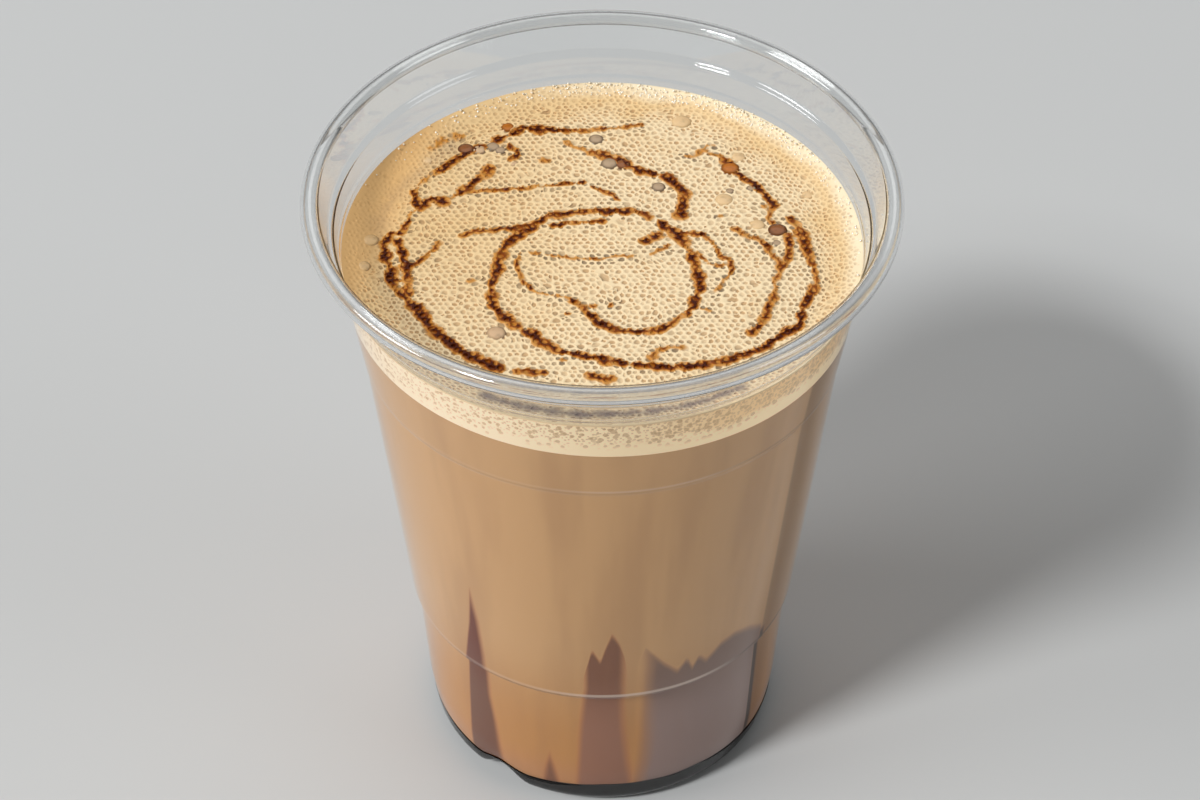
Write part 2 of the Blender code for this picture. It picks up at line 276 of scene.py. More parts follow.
def spinLine(line, turns, closed=False):
    # a profile of radius, height and rounding becomes a turned surface about the cup's axis
    shape = bmesh.new()
    corners = [shape.verts.new((radius * mm, 0, height * mm)) for radius, height, _ in line]
    pairs = list(zip(corners, corners[1:])) + ([(corners[-1], corners[0])] if closed else [])
    for pair in pairs:
        shape.edges.new(pair)
    for corner, (_, _, rounding) in zip(corners, line):
        if rounding > 0:
            bmesh.ops.bevel(shape, geom=[corner, *corner.link_edges], offset=rounding * mm,
                            offset_type="OFFSET", segments=cupShape["roundingSteps"], profile=0.5,
                            affect="VERTICES", material=-1)
    bmesh.ops.spin(shape, geom=shape.verts[:] + shape.edges[:], cent=(0, 0, 0), axis=(0, 0, 1),
                   angle=math.tau, steps=turns, use_merge=True)
    bmesh.ops.remove_doubles(shape, verts=shape.verts, dist=tiny * mm)
    bmesh.ops.recalc_face_normals(shape, faces=shape.faces)
    return shape


def angleBetween(first, second):
    return (first - second + 180) % 360 - 180


def ventLift(angle):
    for vent in cupShape["vents"]:
        away = abs(angleBetween(angle, vent)) / cupShape["ventHalfWidth"]
        if away < 1:
            return cupShape["ventLift"] * 0.5 * (1 + math.cos(math.pi * away))
    return 0.0


def pressVents(shape):
    # the foot is pressed up at each vent, most at the table and not at all at the raised base
    still = (outerRadius(0) - cupShape["footCorner"] - cupShape["footLand"] - cupShape["grooveCorner"]
             - cupShape["wall"])
    for vertex in shape.verts:
        x, y, z = vertex.co / mm
        low = min(1, (cupShape["ventReach"] - z) / (cupShape["ventReach"] - cupShape["wall"]))
        outward = min(1, (math.hypot(x, y) - still) / cupShape["grooveCorner"])
        if low > 0 and outward > 0:
            vertex.co.z += ventLift(math.degrees(math.atan2(y, x))) * low * outward * mm


def finishPiece(name, shape, paint, slot, *nodes, sharpAngle=50):
    mesh = bpy.data.meshes.new(name)
    shape.to_mesh(mesh)
    shape.free()
    mesh.materials.append(paint.material)
    mesh.shade_smooth()
    mesh.set_sharp_from_angle(angle=math.radians(sharpAngle))
    piece = linkToScene(bpy.data.objects.new(name, mesh))
    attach(piece, "root")
    if nodes:
        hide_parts(*nodes)
    print(f"{name}: {len(mesh.polygons)} faces")
    return piece


# Cup: one thin sheet, curled over at the rim

plastic = {
    "tint": (250, 251, 251), "roughness": 0.015, "bend": 1.5, "shade": 0.88, "ambientShade": 0.97,
    "rimHazeAndSheen": 0.1,  # how milky the plastic in the curl is made: a painted sheen that stands in for the curl's white highlight bands
}


def clearPlastic(name, hazeAndSheen=0.0):
    paint = Paint(name, **{
        "Base Color": screenColour(*plastic["tint"]), "Roughness": plastic["roughness"],
        "IOR": plastic["bend"], "Transmission Weight": 1 - hazeAndSheen,
    })
    # light from the lamps and from the room goes straight through the thin wall
    shade = paint.add("ShaderNodeBsdfTransparent", None, {"Color": [plastic["shade"]] * 3})
    ambient = paint.add("ShaderNodeBsdfTransparent", None, {"Color": [plastic["ambientShade"]] * 3})
    diffuseRay = paint.add("ShaderNodeLightPath", output="Is Diffuse Ray")
    shadowRay = paint.add("ShaderNodeLightPath", output="Is Shadow Ray")
    body = Amount(paint, paint.shader.outputs[0])
    inside = paint.add("ShaderNodeMixShader", None, {0: diffuseRay, 1: body, 2: ambient})
    whole = paint.add("ShaderNodeMixShader", None, {0: shadowRay, 1: inside, 2: shade})
    paint.fill(paint.tree.nodes["Material Output"], {"Surface": whole})
    return paint


def makeCup():
    wall, tube = cupShape["wall"], cupShape["rimTube"]
    middle = (rimRadius - tube, cupHeight - tube)
    inner = [(radius - wall, height, rounding) for height, radius, rounding in cupShape["creases"]]
    line = footLine(wall)[:-1] + inner
    line += arc(middle, tube, cupShape["curlStart"], cupShape["curlEnd"], cupShape["curlSteps"])
    shape = spinLine(line, cupShape["turns"])
    pressVents(shape)
    cup = finishPiece("clearCup", shape, clearPlastic("clearPlastic"), "clear_pet", "cup")
    sheet = cup.modifiers.new("Sheet", "SOLIDIFY")
    sheet.thickness = wall * mm
    sheet.offset = -1
    sheet.use_even_offset = True
    # the plastic that fills the curl
    sides = cupShape["coreSides"]
    ring = arc(middle, tube - wall - cupShape["coreGap"], 0, 360 - 360 / sides, sides - 1)
    core = spinLine(ring, cupShape["turns"], closed=True)
    # the curl's plastic is a little milky, a painted sheen for its white highlight bands
    finishPiece("rimCore", core, clearPlastic("rolledPlastic", plastic["rimHazeAndSheen"]), "clear_pet", "cup")


# Drink

drinkLook = {
    "turns": 192, "roughness": 0.5, "top": 0.3, "bottom": 5.6, "skirt": 3.9, "skirtWidth": 3.0,
    "body": (217, 168, 116),
    "low": (203, 143, 82), "lowFrom": (46, 16),  # the heights where it starts and where it is full
    "foot": (204, 140, 98), "footFrom": (14, 6), "footShare": 0.5,
    "cloud": (160, 112, 74), "cloudScale": (110, 110, 9), "cloudDetail": 3.0,
    "cloudSpread": (0.42, 0.68), "cloudShare": 0.26,
    # an upright band of painted shade, standing in for the wall's reflection of the cup's shadow on the floor
    "band": (118, 84, 58), "shadeBandAngles": (-36.6, -35.2, -33.5, -20.0), "shadeBandShare": 0.5,
    # painted highlight lines along the wall's two ledges, turning to painted shade at the right
    "ledges": [(30.9, 32.0, 0.6), (85.1, 86.0, 0.26)],  # low, high, how bright
    "ledgeBlur": 0.4, "ledgeLeft": 0.3, "ledgeFront": (-14, 2), "ledgeDark": (14, 26),
    "glint": (246, 224, 208), "ledgeShade": (84, 60, 46),
}


def milkColour(paint):
    # the drink's own colour, warmer towards the foot, with faint upright clouds, and one darker upright band
    # of painted shade at the front right
    look = drinkLook
    place = paint.place()
    height = paint.axis(place, "Z")
    clouds = paint.noise(paint.stretched(place, look["cloudScale"]), 1.0, look["cloudDetail"])
    cloudy = paint.step(clouds, *look["cloudSpread"]) * look["cloudShare"]
    low = paint.stepAt(height, look["lowFrom"])
    foot = paint.stepAt(height, look["footFrom"]) * look["footShare"]
    colour = paint.blend(low, screenColour(*look["body"]), screenColour(*look["low"]))
    colour = paint.blend(foot, colour, screenColour(*look["foot"]))
    colour = paint.blend(cloudy, colour, screenColour(*look["cloud"]))
    # painted shade: a darker band by angle round the cup, sharp on its left and fading to the right
    sides = {0: paint.axis(place, "Y"), 1: paint.axis(place, "X")}
    angle = paint.add("ShaderNodeMath", {"operation": "ARCTAN2"}, sides)
    start, full, fading, end = [math.radians(turn) for turn in look["shadeBandAngles"]]
    band = paint.step(angle, start, full) - paint.step(angle, fading, end)
    return paint.blend(band * look["shadeBandShare"], colour, screenColour(*look["band"]))


def withLedgeLight(paint, colour):
    # a painted highlight along each ledge of the wall, where the bend catches light: faint at the left, pale
    # at the front, and painted shade instead at the right
    look = drinkLook
    place = paint.place()
    height = paint.axis(place, "Z")
    across = paint.axis(place, "X")
    front = look["ledgeLeft"] + paint.stepAt(across, look["ledgeFront"]) * (1 - look["ledgeLeft"])
    light = paint.blend(paint.stepAt(across, look["ledgeDark"]), screenColour(*look["glint"]),
                        screenColour(*look["ledgeShade"]))
    blur = look["ledgeBlur"] * mm
    for start, end, share in look["ledges"]:
        rising = paint.step(height, start * mm, start * mm + blur)
        falling = paint.step(height, end * mm - blur, end * mm)
        colour = paint.blend((rising - falling) * front * share, colour, light)
    return colour


def tiltEdge(shape, level):
    # the line between drink and foam leans a little, and each point of it stays against the wall
    for vertex in shape.verts:
        x, y, z = vertex.co / mm
        radius = math.hypot(x, y)
        if radius > contents["tiltFrom"] and abs(z - level) < tiny:
            newLevel = level - contents["foamTilt"] * x / radius
            newRadius = radius + outerRadius(newLevel) - outerRadius(level)
            vertex.co = Vector((x * newRadius / radius, y * newRadius / radius, newLevel)) * mm


def makeDrink():
    bite = cupShape["wall"] - contents["drinkBite"]
    top, bottom, skirt = foamEdge + drinkLook["top"], drinkLook["bottom"], drinkLook["skirt"]
    line = [(0.0, bottom, 0.0), (outerRadius(skirt) - drinkLook["skirtWidth"], bottom, 0.0)]
    line += wallLine(bite, skirt, top) + [(0.0, top, 0.0)]
    shape = spinLine(line, drinkLook["turns"])
    tiltEdge(shape, top)
    pressVents(shape)
    paint = Paint("chocolateMilk", **{
        "Roughness": drinkLook["roughness"], "Specular IOR Level": contents["wetGloss"],
    })
    # the drink's colour, with painted highlight and shade lines along the ledges
    paint.fill(paint.shader, {"Base Color": withLedgeLight(paint, milkColour(paint))})
    return finishPiece("drink", shape, paint, "milk_chocolate", "milkshake")


# Syrup settled at the foot, with streaks up the wall

syrupLook = {
    "film": 0.9, "column": 0.45, "fewestColumns": 8, "row": 0.9, "foot": 4.2, "sunkEdge": 0.025,
    "poolTurns": 256, "poolCut": 6.0, "poolFlat": 5,  # the pool is flat this far from its middle
    "poolTop": [(-180, 5.1), (-154, 5.0), (-134, 4.2), (-114, 4.5), (-90, 5.4), (-60, 5.2), (-28, 4.5),
                (20, 5.3), (54, 4.3), (90, 5.4), (140, 4.8), (180, 5.1)],
    "poolWave": (0.25, 0.15),  # height and scale
    "roughness": 0.3, "threads": (420, 420, 16), "threadShare": (0.75, 0.5),
    "highToLow": (38, 20), "streakSpread": (0.2, 1.0),
    "flankDepth": 0.7, "flankSpread": (0.05, 0.5), "flankShare": 0.8,
    "pool": (9, 6, 5), "russet": (108, 38, 2), "umber": (117, 71, 49), "brown": (134, 85, 58),
    "dusk": (160, 110, 86), "mauve": (158, 130, 121), "smudge": (134, 102, 86), "line": (70, 44, 32),
    "orange": (190, 120, 76), "clay": (164, 116, 88),
}


def spike(tipAngle, tipHeight, left, right):
    # a plain tongue that narrows to its tip
    foot = syrupLook["foot"]
    shares = ((0.0, 1.0), (0.35, 0.6), (0.75, 0.22), (1.0, 0.02))
    return {
        "left": [(foot + rise * (tipHeight - foot), tipAngle - left * share) for rise, share in shares],
        "right": [(foot + rise * (tipHeight - foot), tipAngle + right * share) for rise, share in shares],
        "high": "brown", "low": "dusk", "flank": "orange", "soft": (1.8, 2.0, 3.0),
    }


streaks = [  # edges as height and angle, crest as angle and height, softness at the left, right and top
    {"left": [(5, -139), (18.3, -137), (30.3, -135), (42.3, -130.7), (53, -128.2)],
     "right": [(5, -123.2), (9.8, -123.6), (16.2, -124.3), (23.1, -125.7), (34.9, -125.3),
               (43.9, -125.7), (53, -127.4)],
     "high": "russet", "low": "umber", "flank": "orange", "soft": (0.7, 1.5, 0.8)},
    {"left": [(5, -111), (10, -109.5), (15.1, -106.9)], "right": [(5, -103), (10, -104.4), (15.1, -106.6)],
     "high": "brown", "low": "brown", "flank": "orange", "soft": (1.6, 1.6, 3.0)},
    {"left": [(5, -99.5), (14.9, -98.6), (22.6, -97.9), (30.2, -96.7), (33.6, -95.9)],
     "right": [(5, -78.6), (15, -80.5), (22.7, -81.7), (33.6, -82.3)],
     "crest": [(-95.9, 34.6), (-94.8, 38.8), (-92.8, 45.2), (-91.4, 43.2), (-90.5, 41.9), (-89, 46),
               (-87.3, 49.6), (-85.3, 46.8), (-83.7, 42.6), (-82.3, 34.8)],
     "high": "brown", "low": "dusk", "flank": "orange", "soft": (1.6, 2.2, 2.2)},
    {"left": [(5, -82), (10.4, -80.6), (18.2, -80), (27.8, -80), (33.6, -80.3)],
     "right": [(5, -34), (33.6, -36)],
     "crest": [(-80.3, 40), (-78, 44.8), (-72.6, 40.1), (-68, 36.8), (-65.2, 39.4), (-63.3, 36.2),
               (-61.4, 38.8), (-58.8, 36.8), (-54, 39.6), (-49.1, 40.2), (-42.6, 38.8), (-36, 35.8)],
     "high": "smudge", "low": "mauve", "flank": "clay", "soft": (4.4, 0.6, 2.6)},
    {"left": [(6, -36), (34.6, -37)], "right": [(6, -31.6), (34.6, -34)],
     "high": "line", "low": "line", "flank": "brown", "soft": (0.3, 0.8, 2.0)},
    spike(-9, 22, 6, 9), spike(15, 41, 8, 5), spike(45, 30, 12, 7), spike(81, 47, 4, 9),
    spike(114, 26, 14, 12), spike(159, 38, 6, 6), spike(192, 19, 5, 7),
]


def heightsUpTo(top):
    # rows of the film: even steps, with one on each crease of the wall
    foot = syrupLook["foot"]
    stops = [foot] + [crease[0] for crease in cupShape["creases"] if foot < crease[0] < top] + [top]
    rows = [foot]
    for low, high in zip(stops, stops[1:]):
        count = max(1, round((high - low) / syrupLook["row"]))
        rows += [low + (high - low) * (i + 1) / count for i in range(count)]
    return rows


def layStreak(shape, streak, layers):
    # a grid between the streak's edges: level rows up to the shoulder, then columns up to the crest
    stain, *tints = layers
    left, right, crest = streak["left"], streak["right"], streak.get("crest")
    shoulder = left[-1][0]
    rows = heightsUpTo(shoulder)
    level = len(rows) - 1
    rise = max(height for _, height in crest) - shoulder if crest else 0
    above = round(rise / syrupLook["row"])
    wide = max(math.radians(along(right, z) - along(left, z)) * outerRadius(z) for z in rows)
    columns = max(syrupLook["fewestColumns"], round(wide / syrupLook["column"]))
    grid = bmesh.ops.create_grid(shape, x_segments=columns, y_segments=level + above, size=0.5)["verts"]
    softLeft, softRight, softTop = streak["soft"]
    for vertex in grid:
        across, row = vertex.co.x + 0.5, round((vertex.co.y + 0.5) * (level + above))
        height = rows[min(row, level)]
        angle = along(left, height) * (1 - across) + along(right, height) * across
        top = along(crest, angle) if crest else shoulder
        if row > level:
            height += (top - height) * (row - level) / above
        fromLeft = math.radians(angle - along(left, height)) * outerRadius(height)
        fromRight = math.radians(along(right, height) - angle) * outerRadius(height)
        depth = min(fromLeft / softLeft, fromRight / softRight, (top - height) / softTop)
        # the film's edge lies under the drink's surface
        sunk = max(0, 1 - min(fromLeft, fromRight, top - height))
        radius = outerRadius(height) - cupShape["wall"] + contents["streakBite"]
        radius -= syrupLook["sunkEdge"] * sunk
        turn = math.radians(angle)
        vertex.co = Vector((radius * math.cos(turn), radius * math.sin(turn), height)) * mm
        vertex[stain] = min(1.0, depth)
        for tint, part in zip(tints, ("high", "low", "flank")):
            vertex[tint] = (*screenColour(*syrupLook[streak[part]]), 1)
    faces = list({face for vertex in grid for face in vertex.link_faces})
    shape.normal_update()
    bmesh.ops.solidify(shape, geom=faces, thickness=syrupLook["film"] * mm)


def poolShape():
    inset = cupShape["wall"] - contents["poolBite"]
    top = syrupLook["poolCut"]
    swing, scale = syrupLook["poolWave"]
    line = [(0.0, top, 0.0), (outerRadius(top) - inset, top, 0.0)] + list(reversed(footLine(inset)))
    shape = spinLine(line, syrupLook["poolTurns"])
    for vertex in shape.verts:
        x, y, z = vertex.co / mm
        if abs(z - top) < tiny and math.hypot(x, y) > syrupLook["poolFlat"]:
            level = along(syrupLook["poolTop"], math.degrees(math.atan2(y, x)))
            vertex.co.z = (level + swing * noise.noise(Vector((x, y, 0)) * scale)) * mm
    return shape


def syrupPaint():
    # dark in the pool; in a streak one colour high up, another low down and a third along its edges
    look = syrupLook
    paint = Paint("settledSyrup", **{
        "Roughness": look["roughness"], "Specular IOR Level": contents["wetGloss"],
    })
    place = paint.place()
    height = paint.axis(place, "Z")
    least, swing = look["threadShare"]
    threads = paint.noise(paint.stretched(place, look["threads"]), 1.0)
    amount = paint.layer("stain") * (least + threads * swing)
    smear = paint.blend(paint.stepAt(height, look["highToLow"]), paint.layerColour("highTint"),
                        paint.layerColour("lowTint"))
    # the drink's colour, with its upright band of painted shade
    milk = milkColour(paint)
    flank = paint.blend(look["flankDepth"], milk, paint.layerColour("flankTint"))
    colour = paint.blend(paint.step(amount, *look["flankSpread"]) * look["flankShare"], milk, flank)
    colour = paint.blend(paint.step(amount, *look["streakSpread"]), colour, smear)
    # painted highlight and shade along the ledges, as on the drink
    colour = withLedgeLight(paint, colour)
    colour = paint.blend(paint.layer("pool"), colour, screenColour(*look["pool"]))
    paint.fill(paint.shader, {"Base Color": colour})
    return paint


def makeSyrup():
    shape = poolShape()
    pool = shape.verts.layers.float.new("pool")
    stain = shape.verts.layers.float.new("stain")
    tints = [shape.verts.layers.float_color.new(name) for name in ("highTint", "lowTint", "flankTint")]
    for vertex in shape.verts:
        vertex[pool] = 1.0
    for streak in streaks:
        layStreak(shape, streak, (stain, *tints))
    pressVents(shape)
    return finishPiece("settledSyrup", shape, syrupPaint(), "chocolate_syrup", "syrup")


# Foam

foamLook = {
    "top": 101.0, "climb": 1.3, "climbFrom": 35.0, "border": 0.25, "seed": 7,
    "spacing": 1.13, "jitter": 0.3, "fineFrom": 33.0, "fineShare": 1.36,
    "unevenness": 0.12, "swellScale": 0.11, "swellEnd": 5,  # its slow waves end this far from the wall
    "rimBand": 4, "rim": [(0.0, 0.0), (0.45, -1.6)],  # the rim's two loops: inset from the wall, height
    "rings": [(0.74, 0.0, 0.1), (0.72, 0.15, 1.0)],  # share of the ring before, drop, how far it is pit
    "depth": (0.5, 1.2), "calmFlat": 0.7, "fineFlat": 0.62,
    "calmTurn": 165, "calm": (31.0, 37.0),  # the side where bubbles have run together, from how far out
    "fine": (36.5, 40.5), "fineFront": (-24, 0),  # where the bubbles along the wall are too fine to be deep
    "roughness": 0.5, "wetShine": 0.2, "gloss": 0.12,
    "cream": (254, 230, 188), "golden": (244, 209, 154), "froth": (255, 240, 208), "tan": (236, 184, 116),
    "pit": (186, 146, 102), "greyPit": (88, 72, 58), "amber": (206, 138, 48), "brown": (140, 70, 12),
    "dark": (72, 23, 3), "murk": (122, 100, 94),
    "cloudScale": 90.0, "cloudGold": (0.5, 0.75), "cloudGoldShare": 0.3, "frontGold": 0.25, "leftGold": 0.8,
    "goldenFrom": (32, 40), "goldenDrift": 8, "frothFrom": (38, 41), "frothDrift": 4, "frothShare": 0.85,
    "back": (-36, 5), "left": (8, -22), "right": (-20, 5),
    "pitSpread": (0.1, 1.0), "pitShare": (0.3, 0.5), "deepSpread": (0.0, 0.5), "toneSpread": (0.4, 1.2),
    "nearSpread": (0.1, 0.9), "greyShare": (0.35, 0.65), "calmShare": 0.7, "murkShare": 0.9,
    "syrupSteps": [(0.06, 0.34, 0.9, "amber"), (0.35, 0.65, 1.0, "brown"), (0.6, 0.95, 1.0, "dark")],
    "wetSpread": (0.3, 0.8),
}
drizzleLook = {
    "step": 0.33, "widthShare": 0.7, "reach": 2.6, "core": 1.25, "falloff": 0.8, "nearReach": 3.0,
    "beads": (0.9, 0.9, 0.6), "fade": (0.94, 0.5, 0.4), "patches": (0.9, 0.6, 0.9),  # mean, swing, scale
    "wander": (0.5, 0.7),  # swing, scale
    "most": 1.2, "pitLoss": 0.42, "raised": 0.18,
}
strokes = [  # half width, strength (1.2 dark, 0.45 amber) and the points that it runs through
    (0.7, 1.0, [(6.5, 31.9), (2.5, 31.3), (-2, 30.7), (-6, 30.6)]),
    (1.0, 1.2, [(-6, 30.6), (-10, 30.7), (-13, 31.3), (-14.8, 29.6), (-17.3, 28.2)]),
    (0.8, 1.0, [(-15.5, 26.6), (-14.3, 25.2), (-13.6, 24.2), (-15, 23)]),
    (1.2, 0.45, [(-28.3, 25.5), (-26, 27.7), (-23.5, 29)]),
    (1.1, 0.7, [(-9.9, 22.8), (-9.1, 22.8)]),
    (1.1, 1.1, [(-19.5, 26.4), (-22, 24.8), (-24, 23), (-25, 21.8), (-26.8, 20)]),
    (0.8, 0.6, [(-26.8, 20), (-28.5, 18.5), (-29.5, 17), (-30.5, 14.5)]),
    (1.1, 1.1, [(-30.5, 14.5), (-30.2, 12), (-29.5, 10.8), (-28, 12.3), (-26, 12.5)]),
    (0.8, 0.6, [(-26, 12.5), (-24.5, 13), (-23, 14.5)]),
    (1.2, 1.1, [(-23, 14.5), (-21, 17), (-20, 18.5), (-18.8, 19.5), (-18.5, 20.5)]),
    (0.8, 0.9, [(-30, 11), (-30.8, 10), (-31, 8), (-31.7, 6), (-32.5, 4.5), (-34, 4), (-34.8, 2.5)]),
    (0.6, 1.0, [(-22, 14.7), (-15.5, 15.3), (-9, 16.2), (-3.3, 17)]),
    (0.7, 0.6, [(-6, 27.5), (-4, 26), (-2, 25)]),
    (1.2, 1.1, [(-2, 25), (2, 23.3), (6, 20.3), (10, 18.7), (12.5, 16), (13.5, 14.5), (13.3, 12.5),
                (12.5, 9)]),
    (0.7, 1.0, [(-1.5, 15.8), (0, 15), (1.5, 14), (2.5, 12.5)]),
    (0.9, 0.9, [(-22.8, 3.7), (-20, 4.8), (-17, 5.2), (-14, 5.5), (-12, 6)]),
    (1.0, 1.2, [(-12, 6), (-10, 7.5), (-8, 8.8), (-3, 9.8), (3, 9.7), (6.5, 9.3), (7.7, 8)]),
    (0.8, 1.0, [(-8, 6.5), (-4, 7), (0, 7.3)]),
    (1.3, 1.1, [(-11, 6), (-14, 3), (-16.1, -0.5), (-16.8, -5), (-17.5, -9.9), (-16.9, -13.4),
                (-14.2, -17.2), (-11, -19.7), (-9, -22), (-7, -23.5)]),
    (1.0, 1.2, [(-7, -23.5), (-3, -24.7), (3, -26.3), (9, -27.3), (15, -27), (20, -25.5),
                (25, -22.8), (27, -20.7), (30.5, -18), (31.5, -14), (33.5, -9)]),
    (0.8, 0.6, [(33.5, -9), (33.8, -5)]),
    (1.0, 1.0, [(33.8, -5), (33, -1), (32.5, 1.5), (31, 5)]),
    (0.55, 0.55, [(4.8, -1.5), (3, -1.2), (0, -1.8), (-4, -1.7), (-8, -1), (-11, -0.3), (-13, -0.5),
                  (-13.8, -2.5)]),
    (0.6, 0.85, [(-13.8, -2.5), (-13.5, -4.8), (-12.5, -7), (-11.2, -9.3)]),
    (0.55, 0.55, [(-11.2, -9.3), (-9, -10.6), (-6, -11), (-4.5, -12.2)]),
    (0.6, 0.7, [(8, -0.8), (9.5, 0.5), (11, 1.8)]),
    (1.3, 1.2, [(7, 2.4), (8.8, 3.4)]),
    (1.0, 1.2, [(-4.7, -12), (-3.3, -13.3), (-2, -15), (-1, -17), (1.5, -18.5), (4, -19), (8, -19),
                (9.5, -18.3)]),
    (0.9, 0.75, [(9.5, -18.3), (11.5, -16.8), (13.5, -14.8)]),
    (1.1, 1.2, [(13.5, -14.8), (15, -11), (15.5, -7), (14.8, -3), (13.8, 1), (12, 4), (10.5, 5.5),
                (9.8, 7)]),
    (0.7, 0.9, [(12, 4.5), (16, 4), (18, 1), (19, -1.5), (20.5, -2.5), (20.3, -5.5)]),
    (0.6, 0.6, [(20.3, -5.5), (19.5, -7), (18.7, -8.5), (18, -10)]),
    (0.6, 0.7, [(15.8, -1.2), (17, -3), (18.5, -3.6), (20, -2.8)]),
    (0.6, 0.7, [(15.5, -13.5), (16.8, -14.3)]),
    (0.7, 0.5, [(19.1, 8.5), (19.5, 8.5)]),
    (0.9, 0.9, [(21, 5.5), (23, 3.7), (24.5, 3), (26, 1.5), (27.5, -1.5), (28.5, -5)]),
    (0.8, 0.65, [(28.5, -5), (27.3, -7), (27.3, -9), (27, -11)]),
    (1.1, 1.1, [(27, -11), (25.7, -15), (25, -17), (23.5, -19.5)]),
    (1.0, 1.0, [(29.7, 4), (30, 0), (29, -3.5), (28.2, -4)]),
    (1.0, 1.0, [(30.5, 8), (31.5, 6), (32.5, 2), (33.5, -2)]),
    (0.9, 0.7, [(13.5, 24), (15, 23.5), (16.3, 25.2), (18.5, 24.3)]),
    (0.9, 1.1, [(18.5, 24.3), (20.3, 22.6), (22.5, 19), (25, 16.5), (27, 13), (27.8, 11.5)]),
    (0.8, 0.7, [(27.8, 11.5), (27, 8.5), (27.5, 7)]),
    (0.7, 0.5, [(17.5, 26.6), (18.6, 26.5)]),
    (0.6, 0.5, [(25.8, 11), (26.2, 11)]),
    (1.1, 1.2, [(-34.5, 3), (-35, 1), (-34, -4), (-33, -8.5), (-31.5, -10.5), (-30.5, -12.5)]),
    (1.2, 1.1, [(-34.6, -0.5), (-34, -3), (-33.2, -6)]),
    (0.9, 1.2, [(-32.5, 2.5), (-31.5, -2.5), (-30.7, -7.5), (-30.5, -12)]),
    (0.5, 0.9, [(-34, -4), (-31.2, -4)]),
    (0.5, 0.9, [(-33.6, -6.6), (-31, -7)]),
    (0.5, 0.9, [(-32.6, -9), (-30.5, -9.2)]),
    (1.5, 1.2, [(-30, -13), (-28.5, -14.5), (-27, -18), (-24.5, -20.7), (-22, -23.5), (-19, -25.8),
                (-16, -27.5)]),
    (0.8, 0.9, [(-30.5, -3.7), (-28, -1.2), (-26, 2)]),
    (1.1, 0.6, [(-21, -7.3), (-20.6, -7.3)]),
    (0.6, 1.0, [(-1.5, -13.2), (-1.1, -13.2)]),
    (0.6, 1.0, [(1, -12.9), (1.4, -12.9)]),
    (0.7, 1.0, [(-5.7, -15.2), (-5.3, -15.2)]),
    (1.0, 0.9, [(-13, -28.3), (-11, -28.3), (-9, -28.8)]),
    (0.6, 0.6, [(-7, -25.5), (-5.5, -25.8)]),
    (1.3, 1.0, [(-2, -29.5), (0, -29.8), (1.5, -30)]),
    (1.0, 0.6, [(7.8, -24.8), (8.8, -23.5), (10.5, -22.8), (12.8, -22.9)]),
]
murkyStrokes = [  # syrup sunk under the foam near the wall: half width, strength and points
    (1.7, 0.9, [(-18, -33.6), (-12, -36), (-6, -37.4), (0, -37.8), (6, -37.2)]),
    (1.5, 0.95, [(6, -37.2), (12, -36), (17, -34), (20.7, -31.9)]),
    (1.8, 0.2, [(-35.5, 2), (-35.5, 8), (-33, 15), (-29, 21), (-24.5, 26.5)]),
]
largeBubbles = [  # place, half width, colour
    (-16.5, -19.5, 1.6, "tan"), (-1, 28.3, 1.3, "grey"), (1.2, 22, 1.5, "grey"),
    (3.4, 21.8, 1.3, "brown"), (9.2, 16, 1.2, "grey"), (21, 20.8, 1.6, "amber"),
    (19.8, 12.8, 1.5, "pale"), (25, 6.5, 1.3, "pale"), (28.2, 5.2, 1.6, "brown"),
    (28, 2, 0.8, "grey"), (24.3, 15.7, 0.8, "grey"), (20.8, 15, 0.7, "grey"),
    (22.5, 23.7, 1.2, "pale"), (-22.5, 25.8, 1.4, "brown"), (-20.3, 25.6, 1.1, "tan"),
    (-18, 26.4, 1.2, "grey"), (-16.8, 25.5, 1.0, "grey"), (-15.7, 31.5, 1.2, "amber"),
    (-14.5, 22, 0.7, "tan"), (-28.8, 22.8, 0.9, "pale"), (-37.2, 2.5, 1.4, "golden"),
    (-38, -4, 1.2, "golden"), (13.2, 33, 1.7, "pale"), (33.5, 14, 1.0, "pale"),
    (-4, -33.6, 0.8, "grey"),
]
bubbleLook = {
    "segments": 24, "rings": 12, "flatness": 0.24, "sunk": 0.12, "roughness": 0.08, "gloss": 0.3,
    "grey": (186, 158, 126), "amber": (192, 112, 34), "pale": (236, 200, 150), "tan": (216, 180, 140),
    "brown": (148, 92, 52), "golden": (232, 192, 136),
    "rimShare": 0.3, "rimSpread": (0.5, 0.92), "rimStrength": 0.8,
    "cloudScale": 900.0, "cloudSpread": (0.5, 0.8), "cloudStrength": 0.35,
    "edges": {"grey": 1.0, "amber": 1.0, "pale": 0.72, "tan": 0.85, "brown": 1.0, "golden": 0.74},
}


def foamHeight(radius):
    edge = outerRadius(foamLook["top"]) - cupShape["wall"]
    climb = max(0, radius - foamLook["climbFrom"]) / (edge - foamLook["climbFrom"])
    return foamLook["top"] + foamLook["climb"] * climb * climb


def strokeRoute(knots):
    # a smooth line through the knots, a point every third of a millimetre
    points = [Vector((x, y, 0)) for x, y in knots]
    ends = [2 * points[0] - points[1]] + points + [2 * points[-1] - points[-2]]
    route = []
    for before, start, end, after in zip(ends, ends[1:], ends[2:], ends[3:]):
        count = max(1, round((end - start).length / drizzleLook["step"]))
        bend = 2 * before - 5 * start + 4 * end - after
        turn = 3 * start - before - 3 * end + after
        for i in range(count):
            t = i / count
            route.append(0.5 * (2 * start + (end - before) * t + bend * t * t + turn * t ** 3))
    return route + [points[-1]]


